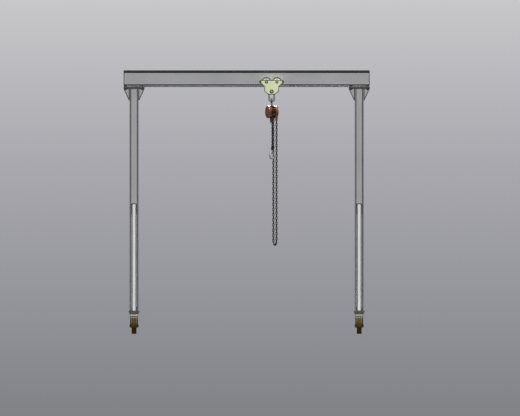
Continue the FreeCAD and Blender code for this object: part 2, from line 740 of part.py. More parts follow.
top_latch_run = V(0, -28.5, 10.5)
top_latch_place = FreeCAD.Placement(
    V(0, 9, bowl_z - 31.5), FreeCAD.Rotation(top_latch_run, V(1, 0, 0), V(0, 0, 0), "XYZ"))
feature("top_hook", top_hook().cut(moved(latch_bore(), top_latch_place)), trolley_place)
feature("top_latch", throat_latch(11.2, top_latch_run.Length, 13.5), trolley_place.multiply(top_latch_place))

# ---------------------------------------------------------------- hoist, in its own frame

hoist_place = at(size("trolley_x"), 0, hoist_z, V(0, 0, 1), size("hoist_yaw"))
radius_out = size("hoist_radius")
side_x0, side_x1 = 16, 21
tie_spots = [(y, z) for y in (-51, 51) for z in (-36, 36)]
shaft_radius = 8
hub_radius = 13
mesh_distance = size("gear_module") * (size("pinion_teeth") + size("disc_teeth")) / 2


def x_ring(outer, inner, x0, x1, y=0.0, z=0.0):
    """Ring or disc about the hoist's axis."""
    solid = rod(outer, V(x0, y, z), V(x1, y, z))
    return solid if inner <= 0 else solid.cut(rod(inner, V(x0 - 1, y, z), V(x1 + 1, y, z)))


yoke_z0, yoke_z1 = shank_foot - hoist_z - 12, radius_out - 6


def hoist_side_plates():
    """Two round plates with the sheave's bearings, and the yoke between them that the top hook turns in."""
    plates = []
    for sign in (-1, 1):
        plate = x_ring(radius_out - 4, hub_radius + RUNNING, *sorted((sign * side_x0, sign * side_x1)))
        for y, z in tie_spots:
            plate = plate.cut(rod(5, V(-40, y, z), V(40, y, z)))
        plates.append(plate)
    yoke = block(-side_x0, side_x0, -17, 17, yoke_z0 + 12.3, yoke_z1)
    yoke = yoke.cut(Part.makeCylinder(size("top_hook_shank") + 2 * RUNNING, 60, V(0, 0, yoke_z0)))
    return group(plates + [yoke])


def tie_bolts():
    """Shouldered bolts that hold the side plates apart."""
    pieces = []
    for y, z in tie_spots:
        screw = rod(5, V(-side_x1 - 2, y, z), V(side_x1 + 2, y, z))
        pieces.append(screw.fuse(x_ring(7.5, 0, -side_x0, side_x0, y, z)))
    return group(pieces)


def gear(teeth, width, bore, phase):
    """Spur gear along Z with involute flanks, thinned a little for backlash."""
    module, pressure = size("gear_module"), math.radians(20)
    pitch = module * teeth / 2
    base, tip, root = pitch * math.cos(pressure), pitch + 0.8 * module, pitch - 1.25 * module
    involute = math.tan(pressure) - pressure
    half_tooth = math.pi / (2 * teeth) - 0.16 / pitch + involute
    low = max(base, root)
    flank = []
    for step in range(5):
        radius = low + (tip - low) * step / 4
        roll = math.sqrt(max((radius / base) ** 2 - 1, 0))
        flank.append((radius, half_tooth - (roll - math.atan(roll))))
    points = []
    for tooth in range(teeth):
        centre = phase + 2 * math.pi * tooth / teeth
        side = [(root, flank[0][1] + 0.02)] + flank if root < base else flank
        for radius, angle in [(r, centre - a) for r, a in side] + [(r, centre + a) for r, a in side[::-1]]:
            points.append(V(radius * math.cos(angle), radius * math.sin(angle), 0))
    solid = Part.Face(Part.makePolygon(points + points[:1])).extrude(V(0, 0, width))
    return solid.cut(Part.makeCylinder(bore, width + 2, V(0, 0, -1))) if bore > 0 else solid


pinion_count, disc_count = int(size("pinion_teeth")), int(size("disc_teeth"))
first_x0, first_x1 = -49, -40
second_x0, second_x1 = -37, -25


def laid_gear(teeth, x0, x1, bore, phase, z=0.0):
    """Gear along the hoist's axis from x0 to x1. Its angles run from local +Z."""
    solid = gear(teeth, x1 - x0, bore, phase)
    solid.rotate(V(0, 0, 0), V(0, 1, 0), 90)
    solid.rotate(V(0, 0, 0), V(1, 0, 0), 180)
    solid.translate(V(x0, 0, z))
    return solid


def drive_shaft():
    """Hand wheel's shaft through the sheave, with the first pinion cut on its end."""
    pinion = laid_gear(pinion_count, first_x0, first_x1, 0, 0)
    shaft = x_ring(shaft_radius, 0, first_x1, 62)
    journal = x_ring(5, 0, first_x0 - 5, first_x0)
    shoulder = x_ring(10.5, 0, 34, 36)
    return pinion.fuse([shaft, journal, shoulder]).removeSplitter()


def disc_gear(sign):
    """Intermediate gear: a disc driven by the first pinion, and a small pinion that drives the load gear."""
    mesh = math.pi / disc_count if disc_count % 2 == 0 else 0
    z = sign * mesh_distance
    wheel = laid_gear(disc_count, first_x0, first_x1, 0, mesh, z)
    small = laid_gear(pinion_count, second_x0, second_x1, 0, 0, z)
    hub = x_ring(7.5, 0, first_x1, second_x0, 0, z)
    journals = [x_ring(4, 0, first_x0 - 5, first_x0, 0, z), x_ring(4, 0, second_x1, -side_x1 - 0.2, 0, z)]
    return wheel.fuse([small, hub] + journals).removeSplitter()


def load_gear():
    return laid_gear(disc_count, second_x0, second_x1, hub_radius, math.pi / disc_count)


def load_sheave():
    """Sheave with a deep middle groove for upright links and flat lands for the links between."""
    wire, line = size("load_wire"), size("sheave_radius")
    land = line - wire - 0.6
    deep = line - size("load_link_width") / 2 - 0.6
    profile = [
        (shaft_radius + RUNNING, second_x0), (hub_radius, second_x0), (hub_radius, -15.2), (line + 7, -15.2),
        (line + 7, -13.4), (line + 1, -12.4), (land, -12.2), (land, -wire - 0.9), (deep, -wire - 0.7),
        (deep, wire + 0.7), (land, wire + 0.9), (land, 12.2), (line + 1, 12.4), (line + 7, 13.4),
        (line + 7, 15.2), (hub_radius, 15.2), (hub_radius, side_x1), (shaft_radius + RUNNING, side_x1),
    ]
    return turned(profile, V(1, 0, 0))


def hand_wheel():
    """Chain wheel with a grooved rim on a dished web."""
    wire, line, middle = size("hand_wire"), size("hand_wheel_radius"), size("hand_wheel_x")
    land = line - wire - 1.0
    deep = line - size("hand_link_width") / 2 - 1.0
    half = size("hand_link_width") / 2 + 0.8
    rim = [
        (deep - 5, -half - 1.5), (line + 6, -half - 1.5), (line + 7, -half - 0.5), (line + 1, -half),
        (land, -half), (land, -wire - 1.5), (deep, -wire - 0.8), (deep, wire + 0.8), (land, wire + 1.5),
        (land, half), (line + 1, half), (line + 7, half + 0.5), (line + 6, half + 1.5),
        (deep - 5, half + 1.5),
    ]
    front = [(shaft_radius, -6), (20, -6), (22, -3), (deep - 6, -3)]
    back = [(deep - 6, 3), (22, 3), (20, 12), (shaft_radius, 12)]
    profile = front + rim + back
    solid = turned(profile, V(1, 0, 0))
    solid.translate(V(middle, 0, 0))
    return solid


def brake_ratchet():
    """Ratchet disc between two friction discs, on the drive shaft beside the hand wheel."""
    teeth, outer, inner = 16, 34, 29
    points = []
    for tooth in range(teeth):
        start = 2 * math.pi * tooth / teeth
        points.append(V(25.2, inner * math.cos(start), inner * math.sin(start)))
        points.append(V(25.2, outer * math.cos(start + 0.03), outer * math.sin(start + 0.03)))
    disc = Part.Face(Part.makePolygon(points + points[:1])).extrude(V(4.8, 0, 0))
    disc = disc.cut(x_ring(shaft_radius + 0.4, 0, 20, 40))
    return group([disc, x_ring(26, shaft_radius + 0.4, 22.4, 25.2), x_ring(26, shaft_radius + 0.4, 30, 32.8)])


def cover_shell(edge, shoulder, face, bead):
    """Outer and inner corners of a drawn cap: open at edge, with a rolled bead there, and domed at face."""
    wall = size("cover_wall")
    way = math.copysign(1, face)
    outer = [
        (radius_out + bead, edge), (radius_out + bead, edge + way * 5, 2), (radius_out, edge + way * 7, 1),
        (radius_out, shoulder, 9), (34, face - way * 0.5, 60), (0, face),
    ]
    inner = [
        (0, face - way * wall), (34, face - way * (wall + 0.5), 50),
        (radius_out - wall, shoulder - way * wall, 7), (radius_out - wall, edge),
    ]
    return outer, inner


def gear_cover():
    """Drawn cap over the gears."""
    outer, inner = cover_shell(-side_x1, -59, -66, 2.5)
    return turned(outer + inner, V(1, 0, 0))


def wheel_cover():
    """Drawn cap over the hand wheel, with a funnel below for each strand of the hand chain."""
    outer, inner = cover_shell(side_x1 + 1, 64, 71, 3)
    shell = turned(outer + [(0, side_x1 + 1)], V(1, 0, 0))
    hollow = turned(inner + [(0, side_x1 + 1)], V(1, 0, 0))
    spots = [V(size("hand_wheel_x"), sign * size("hand_wheel_radius"), -98) for sign in (-1, 1)]
    for spot in spots:
        shell = shell.fuse(Part.makeCone(14.3, 20.8, 98, spot))
    for spot in spots:
        hollow = hollow.fuse(Part.makeCone(12.5, 18.8, 99, spot - V(0, 0, 1)))
    return shell.cut(hollow).removeSplitter()


feature("hoist_frame", hoist_side_plates(), hoist_place)
feature("tie_bolts", tie_bolts(), hoist_place)
feature("gear_cover", gear_cover(), hoist_place)
feature("wheel_cover", wheel_cover(), hoist_place)
feature("hand_wheel", hand_wheel(), hoist_place)
feature("drive_shaft", drive_shaft(), hoist_place)
feature("load_sheave", load_sheave(), hoist_place)
feature("load_gear", load_gear(), hoist_place)
feature("disc_gear_upper", disc_gear(1), hoist_place)
feature("disc_gear_lower", disc_gear(-1), hoist_place)
feature("brake_ratchet", brake_ratchet(), hoist_place)

# ---------------------------------------------------------------- chains


def link(wire, pitch, width):
    """Oval link along Z, lying in the XZ plane, centred on the origin."""
    bend = width / 2 - wire
    straight = (pitch + 2 * wire - 2 * bend) / 2
    pieces = [rod(wire, V(sign * bend, 0, -straight), V(sign * bend, 0, straight)) for sign in (-1, 1)]
    upper_half = block(-width, width, -width, width, 0, width)
    crown = Part.makeTorus(bend, wire, V(0, 0, 0), V(0, 1, 0)).common(upper_half)
    pieces.append(moved(crown, at(0, 0, straight)))
    pieces.append(moved(crown, at(0, 0, -straight, V(0, 1, 0), 180)))
    return pieces[0].fuse(pieces[1:]).removeSplitter()


def strand_point(distance, start_y, top_length, radius):
    """Place and direction on a path that rises at +start_y, goes over a half circle and comes down."""
    if distance < top_length:
        return V(0, start_y, distance - top_length), V(0, 0, 1)
    turn = (distance - top_length) / radius
    if turn < math.pi:
        way = math.copysign(1, start_y)
        point = V(0, way * radius * math.cos(turn), radius * math.sin(turn))
        return point, V(0, -way * math.sin(turn), math.cos(turn))
    return V(0, -start_y, -(distance - top_length - math.pi * radius)), V(0, 0, -1)


def placed_link(shape, point, direction, flat):
    """Link at a point of the hoist's chain plane, along direction, lying flat on a wheel's rim or upright."""
    across = V(1, 0, 0) if flat else direction.cross(V(1, 0, 0))
    copy = shape.copy()
    copy.Placement = FreeCAD.Placement(point, FreeCAD.Rotation(across, V(0, 0, 0), direction, "ZXY"))
    return copy


sheave_radius = size("sheave_radius")
load_pitch = size("load_pitch")
load_drop = hoist_z - size("hook_block_z") - 8
tail_links = 5
load_path = load_drop + math.pi * sheave_radius + load_pitch * (tail_links + 2)
load_link = link(size("load_wire"), load_pitch + CHAIN_PLAY, size("load_link_width"))
load_links = []
for index in range(int(load_path / load_pitch)):
    point, direction = strand_point((index + 0.5) * load_pitch, -sheave_radius, load_drop, sheave_radius)
    load_links.append(placed_link(load_link, point, direction, index % 2 == 1))
feature("load_chain", group(load_links), hoist_place)

hand_radius = size("hand_wheel_radius")
hand_total = size("hand_chain_links") * size("hand_pitch")
hand_straight = (hand_total - 2 * math.pi * hand_radius) / 2
hand_link = link(size("hand_wire"), size("hand_pitch") + CHAIN_PLAY, size("hand_link_width"))
hand_phase = 0.6        # first link's place on the loop, in pitches


def loop_point(distance):
    """Place and direction on the endless hand chain: up in front, over the wheel, down and round below."""
    if distance < hand_straight + math.pi * hand_radius:
        return strand_point(distance, -hand_radius, hand_straight, hand_radius)
    rest = distance - hand_straight - math.pi * hand_radius
    if rest < hand_straight:
        return V(0, hand_radius, -rest), V(0, 0, -1)
    turn = (rest - hand_straight) / hand_radius
    point = V(0, hand_radius * math.cos(turn), -hand_straight - hand_radius * math.sin(turn))
    return point, V(0, -math.sin(turn), -math.cos(turn))


hand_links = []
for index in range(int(size("hand_chain_links"))):
    point, direction = loop_point((index + hand_phase) * size("hand_pitch"))
    hand_links.append(placed_link(hand_link, point + V(size("hand_wheel_x"), 0, 0), direction, index % 2 == 0))
feature("hand_chain", group(hand_links), hoist_place)

# ---------------------------------------------------------------- load block and hook, in the hoist's frame

block_z = size("hook_block_z") - hoist_z
line_y = -sheave_radius
hook_centre = V(-5, line_y, block_z - 99)
block_pin_z = 11.2


def hook_block():
    """Two-eared block: a pin through the last link above, and a bored boss for the hook's shank below."""
    body = turned([(0, -22), (12, -22), (18, -16), (18, 0), (15, 4), (0, 4)])
    ears = block(-13, 13, -11, 11, 0, 12).fuse(rod(11, V(-13, 0, 12), V(13, 0, 12)))
    solid = body.fuse(ears)
    solid = solid.cut(block(-4.5, 4.5, -20, 20, -0.5, 60))
    solid = solid.cut(Part.makeCylinder(8 + RUNNING, 30, V(0, 0, -30)))
    solid = solid.cut(Part.makeCylinder(12, 13, V(0, 0, -12)))
    solid = solid.cut(rod(3, V(-40, 0, block_pin_z), V(40, 0, block_pin_z))).removeSplitter()
    pin = rod(3, V(-17, 0, block_pin_z), V(17, 0, block_pin_z))
    return moved(group([solid, pin]), at(0, line_y, block_z))


def load_hook():
    """Forged hook with its opening towards local -X and its shank up in the block."""
    section, bowl = size("hook_section"), size("hook_bowl_radius")
    line = bowl + section
    centre = hook_centre
    points = [centre + V(5, 0, 76), centre + V(5, 0, 60), centre + V(8, 0, 46), centre + V(20, 0, 30)]
    for degrees in (15, -20, -55, -90, -125, -160):
        angle = math.radians(degrees)
        points.append(centre + V(line * math.cos(angle), 0, line * math.sin(angle)))
    points += [centre + V(-line - 3, 0, 10), centre + V(-line - 13, 0, 34)]
    radii = [8.5, 8.5, 8.4, 8.6, 9.5, 10, 10.5, 10.5, 10, 9, 7.5, 4]
    hook = tapered_sweep(points, radii, V(0, 1, 0))
    shank = rod(8, V(0, line_y, block_z - 40), V(0, line_y, block_z - 6))
    head = rod(11.7, V(0, line_y, block_z - 11.7), V(0, line_y, block_z - 3))
    return hook.fuse([shank, head]).removeSplitter()


hook_latch_pivot = hook_centre + V(9, 0, 44)
hook_latch_run = V(-35.5, 0, -15.5)
hook_latch_place = FreeCAD.Placement(
    hook_latch_pivot, FreeCAD.Rotation(hook_latch_run, V(0, 1, 0), V(0, 0, 0), "XYZ"))
load_hook_shape = load_hook().cut(moved(latch_bore(), hook_latch_place))


feature("hook_block", hook_block(), hoist_place)
feature("load_hook", load_hook_shape, hoist_place)
feature("hook_latch", throat_latch(9.8, hook_latch_run.Length, 12), hoist_place.multiply(hook_latch_place))

# ---------------------------------------------------------------- check and write

doc.recompute()
for obj in doc.Objects:
    if "Invalid" in obj.State or "Error" in obj.State:
        raise RuntimeError(f"{obj.Name}: {obj.State}")
os.makedirs("parts", exist_ok=True)
for obj in NODES:
    if obj.Shape.isNull() or not obj.Shape.isValid():
        raise RuntimeError(f"{obj.Label} has no valid shape")
    obj.Shape.exportStep(f"parts/{obj.Label}.step")
    print(f"{obj.Label:28s} {len(obj.Shape.Solids):4d} solids {obj.Shape.Volume / 1e3:10.1f} cm3")
print(len(NODES), "nodes")
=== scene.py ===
"""Looks of the portable gantry crane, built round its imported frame. Metres, +Z up, +X along the beam."""

import json
import math

import bmesh
import bpy
from mathutils import Matrix, Vector


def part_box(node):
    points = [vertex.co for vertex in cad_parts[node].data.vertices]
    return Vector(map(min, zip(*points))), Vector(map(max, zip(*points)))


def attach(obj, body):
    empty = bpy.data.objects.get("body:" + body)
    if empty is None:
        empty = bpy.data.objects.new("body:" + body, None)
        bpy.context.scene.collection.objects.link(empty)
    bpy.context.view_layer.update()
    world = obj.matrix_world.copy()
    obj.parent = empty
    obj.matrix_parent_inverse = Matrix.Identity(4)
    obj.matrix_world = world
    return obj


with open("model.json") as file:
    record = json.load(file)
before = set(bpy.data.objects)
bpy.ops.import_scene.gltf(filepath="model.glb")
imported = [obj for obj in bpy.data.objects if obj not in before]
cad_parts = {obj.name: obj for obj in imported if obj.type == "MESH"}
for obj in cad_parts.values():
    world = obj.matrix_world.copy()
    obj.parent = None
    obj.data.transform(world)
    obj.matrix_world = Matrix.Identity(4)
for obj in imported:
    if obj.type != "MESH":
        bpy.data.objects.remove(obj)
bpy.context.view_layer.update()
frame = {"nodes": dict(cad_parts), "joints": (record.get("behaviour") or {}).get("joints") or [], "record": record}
nodes = frame["nodes"]
joints = {joint["name"]: joint for joint in frame["joints"]}
SIDES = {"left": -1, "right": 1}
ENDS = {"front": -1, "rear": 1}


def box_of(node):
    """Lowest and highest corners of a node at rest, to the nearest 0.1 mm."""
    return [[round(value, 4) for value in corner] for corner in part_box(node)]


# ---------------------------------------------------------------- camera, world and light

ORTHO_WIDTH = 6.339         # metres across the picture
VIEW_CENTRE = Vector((0.163, 0, 1.535))
CAMERA_DISTANCE = 7.0

camera_data = bpy.data.cameras.new("camera")
camera_data.type = "ORTHO"
camera_data.ortho_scale = ORTHO_WIDTH
camera_data.clip_end = 100
camera = bpy.data.objects.new("camera", camera_data)
camera.location = VIEW_CENTRE + Vector((0, -CAMERA_DISTANCE, 0))
camera.rotation_euler = (math.radians(90), 0, 0)
bpy.context.scene.collection.objects.link(camera)
bpy.context.scene.camera = camera

world = bpy.data.worlds.new("studio")
world.use_nodes = True
world.node_tree.nodes["Background"].inputs["Color"].default_value = (0.80, 0.82, 0.86, 1)
world.node_tree.nodes["Background"].inputs["Strength"].default_value = 0.12
bpy.context.scene.world = world
bpy.context.scene.view_settings.view_transform = "Standard"


def add_sun(name, direction, strength, angle):
    """Sun whose light travels along direction. It casts no shadows, as in a catalogue picture."""
    data = bpy.data.lights.new(name, "SUN")
    data.energy = strength
    data.angle = math.radians(angle)
    data.use_shadow = False
    sun = bpy.data.objects.new(name, data)
    sun.rotation_euler = Vector(direction).to_track_quat("-Z", "Y").to_euler()
    bpy.context.scene.collection.objects.link(sun)


add_sun("key", (0, 0.323, -0.946), 5.6, 6)
add_sun("floor_bounce", (0, 0.45, 0.89), 1.1, 20)
add_sun("back_fill", (0, -0.80, -0.60), 2.4, 20)
add_sun("left_fill", (0.92, 0, -0.39), 1.0, 20)
add_sun("right_fill", (-0.92, 0, -0.39), 1.0, 20)

# ---------------------------------------------------------------- node tree helpers

BEAM_FOOT = 3.005           # height above which frame paint is on the rolled beam
(_, _, beam_bottom), (_, BEAM_HALF, beam_top) = box_of("main_beam")
BEAM_MIDDLE = (beam_bottom + beam_top) / 2
TIP_WIDTH = 0.003           # width of the painted shade along the outer edge of the beam's flanges
ROOT_START = 0.069          # from the beam's middle to where the painted shade at the web's root begins
ROOT_END = 0.085
WEB_REACH = 0.006           # from the beam's middle plane, more than half the web
FORK_NECK = 0.220           # height above which a caster fork's crown is painted pale, a painted highlight where it faces up
LINE_SHADE = 0.05           # colour of the painted shade lines along edges, as a share of the paint's
CHIP_COLOUR = (0.30, 0.29, 0.28)


class Tree:
    """A material's node tree, with short calls for the nodes that this scene uses."""

    def __init__(self, name):
        self.material = bpy.data.materials.new(name)
        self.material.use_nodes = True
        self.nodes = self.material.node_tree.nodes
        self.links = self.material.node_tree.links
        self.shader = self.nodes["Principled BSDF"]
        coordinates = self.nodes.new("ShaderNodeTexCoord")
        self.place = coordinates.outputs["Object"]
        self.normal = coordinates.outputs["Normal"]

    def set(self, **values):
        """Set the shader's own sockets, such as Metallic or Coat_Weight."""
        for key, value in values.items():
            self.shader.inputs[key.replace("_", " ")].default_value = value

    def link(self, start, end):
        self.links.new(start, end)

    def feed(self, socket, value):
        """Give a socket another socket's output, a colour or a number."""
        if isinstance(value, bpy.types.NodeSocket):
            self.link(value, socket)
        elif hasattr(value, "__len__"):
            socket.default_value = (*value, 1)
        else:
            socket.default_value = value

    def split(self, vector):
        """The three parts of a vector."""
        node = self.nodes.new("ShaderNodeSeparateXYZ")
        self.link(vector, node.inputs[0])
        return tuple(node.outputs)

    def noise(self, scale, detail=3, roughness=0.5):
        """Grey noise in object space."""
        node = self.nodes.new("ShaderNodeTexNoise")
        node.inputs["Scale"].default_value = scale
        node.inputs["Detail"].default_value = detail
        node.inputs["Roughness"].default_value = roughness
        self.link(self.place, node.inputs["Vector"])
        return node.outputs["Fac"]

    def ramp(self, value, stops):
        """Colour or grey ramp through (place, colour) stops."""
        node = self.nodes.new("ShaderNodeValToRGB")
        elements = node.color_ramp.elements
        while len(elements) < len(stops):
            elements.new(0.5)
        for element, (position, colour) in zip(elements, stops):
            element.position = position
            element.color = (*colour, 1) if hasattr(colour, "__len__") else (colour, colour, colour, 1)
        self.link(value, node.inputs["Fac"])
        return node.outputs["Color"]

    def mix(self, share, first, second, mode="MIX"):
        """Mix two colours. Each is a socket or a colour."""
        node = self.nodes.new("ShaderNodeMix")
        node.data_type = "RGBA"
        node.blend_type = mode
        self.feed(node.inputs[0], share)
        self.feed(node.inputs[6], first)
        self.feed(node.inputs[7], second)
        return node.outputs[2]

    def math(self, operation, *values):
        node = self.nodes.new("ShaderNodeMath")
        node.operation = operation
        for socket, value in zip(node.inputs, values):
            self.feed(socket, value)
        return node.outputs[0]

    def edges(self, radius):
        """1 along edges and corners, 0 on flat stretches, found from a rounded normal."""
        bevel = self.nodes.new("ShaderNodeBevel")
        bevel.inputs["Radius"].default_value = radius
        bevel.samples = 8
        geometry = self.nodes.new("ShaderNodeNewGeometry")
        dot = self.nodes.new("ShaderNodeVectorMath")
        dot.operation = "DOT_PRODUCT"
        self.link(bevel.outputs["Normal"], dot.inputs[0])
        self.link(geometry.outputs["Normal"], dot.inputs[1])
        return self.ramp(dot.outputs["Value"], [(0.982, 1.0), (0.9985, 0.0)])

    def frame_shade_lines(self):
        """Mask of painted shade on the frame: 1 at both ends of a tube's rounded corner, on the beam's sloping
        inner faces, at its flanges' tips and where its web meets its flanges."""
        along, across, up = (self.math("ABSOLUTE", part) for part in self.split(self.normal))
        _, spot_y, spot_z = self.split(self.place)
        on_beam = self.math("GREATER_THAN", spot_z, BEAM_FOOT)
        side = self.math("SQRT", self.math("SUBTRACT", 1.0, self.math("MULTIPLY", along, along)))
        tube = self.math("MULTIPLY", along, side)
        rolled = self.math("MULTIPLY", self.math("MULTIPLY", across, up), on_beam)
        turn = self.math("MAXIMUM", tube, rolled)
        # painted shade at both ends of a tube's rounded corner and on the beam's sloping faces
        arcs = self.ramp(turn, [(0.02, 0.0), (0.05, 1.0), (0.36, 1.0), (0.44, 0.0)])
        aside = self.math("ABSOLUTE", spot_y)
        off_middle = self.math("ABSOLUTE", self.math("SUBTRACT", spot_z, BEAM_MIDDLE))
        above = self.math("GREATER_THAN", off_middle, ROOT_START)
        below = self.math("LESS_THAN", off_middle, ROOT_END)
        root = self.math("MULTIPLY", self.math("MULTIPLY", above, below),
                         self.math("LESS_THAN", aside, WEB_REACH))
        tip = self.math("GREATER_THAN", aside, BEAM_HALF - TIP_WIDTH)
        # painted shade at the beam's flange tips and at the web's root under each flange
        beam_shade = self.math("MULTIPLY", self.math("MAXIMUM", root, tip), on_beam)
        return self.math("MAXIMUM", arcs, beam_shade)

    def bump(self, height, strength, distance):
        node = self.nodes.new("ShaderNodeBump")
        node.inputs["Strength"].default_value = strength
        node.inputs["Distance"].default_value = distance
        self.link(height, node.inputs["Height"])
        self.link(node.outputs["Normal"], self.shader.inputs["Normal"])

    def colour(self, value):
        self.link(value, self.shader.inputs["Base Color"])

    def roughness(self, value):
        self.link(value, self.shader.inputs["Roughness"])


# ---------------------------------------------------------------- materials


def scaled(colour, factor):
    return tuple(min(1.0, channel * factor) for channel in colour)


def painted(name, colour, rough=0.5, metallic=0.0, coat=0.0, edge_width=0.005, shine=0.5, on_frame=False):
    """Sprayed paint: cloudy tone, orange peel, painted shade in dark lines along the edges and small chips
    rubbed through on them. On the frame, painted shade also darkens the rounded corners and the beam's flanges.
    """
    tree = Tree(name)
    cloud = tree.ramp(tree.noise(2.2, 4), [(0.35, scaled(colour, 0.94)), (0.65, scaled(colour, 1.06))])
    speckle = tree.ramp(tree.noise(160, 2), [(0.60, 0.0), (0.72, 1.0)])
    dusty = tree.mix(tree.math("MULTIPLY", speckle, 0.05), cloud, scaled(colour, 0.6))
    edge = tree.edges(edge_width)
    # dark lines along edges, and on the frame at its corners and flanges, are painted shade
    edge_shade = tree.math("MAXIMUM", edge, tree.frame_shade_lines()) if on_frame else edge
    lined = tree.mix(edge_shade, dusty, scaled(colour, LINE_SHADE))
    chip = tree.math("MULTIPLY", edge, tree.ramp(tree.noise(45, 6, 0.65), [(0.66, 0.0), (0.70, 1.0)]))
    tree.colour(tree.mix(chip, lined, CHIP_COLOUR))
    tree.roughness(tree.ramp(tree.noise(30, 5), [(0.3, rough - 0.06), (0.7, rough + 0.08)]))
    tree.bump(tree.noise(420, 2), 0.12, 0.0006)
    tree.set(Metallic=metallic, Coat_Weight=coat, Specular_IOR_Level=shine)
    return tree.material


def bare_steel(name, colour, rough=0.35, metallic=1.0, edge_width=0.0025, shine=0.5):
    """Machined or plated steel: cloudy tarnish, fine grain and painted shade in dark lines along the edges."""
    tree = Tree(name)
    tone = tree.ramp(tree.noise(12, 5), [(0.3, scaled(colour, 0.8)), (0.7, scaled(colour, 1.15))])
    # dark lines along edges are painted shade
    tree.colour(tree.mix(tree.edges(edge_width), tone, scaled(colour, LINE_SHADE)))
    tree.roughness(tree.ramp(tree.noise(40, 6, 0.6), [(0.25, rough - 0.08), (0.75, rough + 0.12)]))
    tree.bump(tree.noise(90, 6, 0.7), 0.18, 0.0008)
    tree.set(Metallic=metallic, Specular_IOR_Level=shine)
    return tree.material


def fork_paint(name, legs, crown):
    """Caster fork: brown enamel with painted shade along its edges, and its crown and nose painted pale as
    a painted highlight where they face up.
    """
    tree = Tree(name)
    height = tree.split(tree.place)[2]
    # the crown and nose are painted pale above the neck: a painted highlight where they face up
    crown_highlight = tree.ramp(height, [(FORK_NECK - 0.006, 0.0), (FORK_NECK + 0.002, 1.0)])
    cloud = tree.ramp(tree.noise(14, 5), [(0.3, 0.8), (0.7, 1.15)])
    tone = tree.mix(1.0, cloud, tree.mix(crown_highlight, legs, crown), "MULTIPLY")
    # dark lines along edges are painted shade
    tree.colour(tree.mix(tree.edges(0.010), tone, tree.mix(0.75, tone, (0.004, 0.004, 0.003))))
    tree.roughness(tree.ramp(tree.noise(40, 5), [(0.3, 0.45), (0.7, 0.65)]))
    tree.bump(tree.noise(380, 2), 0.12, 0.0006)
    tree.set(Metallic=0.1, Specular_IOR_Level=0.2)
    return tree.material


def moulded(name, colour):
    """Moulded caster wheel: ochre brown with flow marks, painted shade along its edges and pressed-in grit."""
    tree = Tree(name)
    flow = tree.ramp(tree.noise(9, 5, 0.6), [(0.3, scaled(colour, 0.7)), (0.7, scaled(colour, 1.3))])
    grit = tree.ramp(tree.noise(240, 3), [(0.62, 0.0), (0.70, 1.0)])
    dirty = tree.mix(tree.math("MULTIPLY", grit, 0.5), flow, (0.03, 0.022, 0.006))
    # darker edges are painted shade
    edge = tree.math("MULTIPLY", tree.edges(0.004), 0.5)
    tree.colour(tree.mix(edge, dirty, scaled(colour, 0.35)))
    tree.roughness(tree.ramp(tree.noise(60, 5), [(0.3, 0.62), (0.7, 0.85)]))
    tree.set(Specular_IOR_Level=0.05)
    tree.bump(tree.noise(130, 5, 0.7), 0.25, 0.001)
    return tree.material


MATERIALS = {
    "frame_paint": painted("frame_paint", (0.375, 0.375, 0.38), edge_width=0.022, shine=0.2, on_frame=True),
    "zinc": bare_steel("zinc", (0.55, 0.56, 0.52), 0.4, 0.2, edge_width=0.010),
    "black_steel": bare_steel("black_steel", (0.010, 0.010, 0.011), 0.55, 0.1),
    "fork_steel": fork_paint("fork_steel", (0.050, 0.040, 0.026), (0.30, 0.27, 0.23)),
    "caster_tread": moulded("caster_tread", (0.056, 0.037, 0.0035)),
    "trolley_paint": painted("trolley_paint", (0.72, 0.79, 0.50), 0.45, edge_width=0.020),
    "trolley_wheel_steel": bare_steel("trolley_wheel_steel", (0.63, 0.66, 0.50), 0.5, 0.1, edge_width=0.018),
    "shackle_steel": painted("shackle_steel", (0.54, 0.55, 0.46), 0.42, 0.1, edge_width=0.020),
    "hook_steel": painted("hook_steel", (0.040, 0.046, 0.032), 0.4),
    "forged_steel": bare_steel("forged_steel", (0.21, 0.21, 0.205), 0.5, 0.2),
    "buffer_rubber": painted("buffer_rubber", (0.075, 0.082, 0.05), 0.7),
    "hoist_cover": painted("hoist_cover", (0.24, 0.082, 0.036), 0.32, 0.35, coat=0.4, edge_width=0.008),
    "hoist_dark": painted("hoist_dark", (0.010, 0.008, 0.007), 0.5, shine=0.2),
    "gear_steel": bare_steel("gear_steel", (0.42, 0.41, 0.40), 0.3),
    "chain_steel": bare_steel("chain_steel", (0.006, 0.006, 0.007), 0.5, 0.0, shine=0.12),
    "bearing_steel": bare_steel("bearing_steel", (0.75, 0.75, 0.75), 0.12),
}

for row in frame["record"]["subparts"]:
    node = nodes[row["node"]]
    node.data.materials.clear()
    node.data.materials.append(MATERIALS[row["material_slot"]])

# chain wire is shown a little fuller than its collision shape
CHAIN_SWELL = 0.0012
for name in ("hand_chain", "load_chain"):
    swell = nodes[name].modifiers.new("swell", "DISPLACE")
    swell.strength = CHAIN_SWELL
    swell.mid_level = 0.0

# ---------------------------------------------------------------- mesh helpers


def finished_mesh(shape, name):
    """Turn a bmesh into a mesh and free it."""
    mesh = bpy.data.meshes.new(name)
    shape.to_mesh(mesh)
    shape.free()
    return mesh


def add_piece(name, mesh, body, slot):
    """Show a mesh as a piece that rides on a body and takes its finish from a material slot."""
    for polygon in mesh.polygons:
        polygon.use_smooth = True
    mesh.materials.append(MATERIALS[slot])
    piece = bpy.data.objects.new(name, mesh)
    bpy.context.scene.collection.objects.link(piece)
    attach(piece, body)


def ring_at(shape, place, radius, sides):
    """Circle of points about the Z axis of a placement."""
    turns = (math.tau * index / sides for index in range(sides))
    return [shape.verts.new(place @ Vector((radius * math.cos(turn), radius * math.sin(turn), 0)))
            for turn in turns]


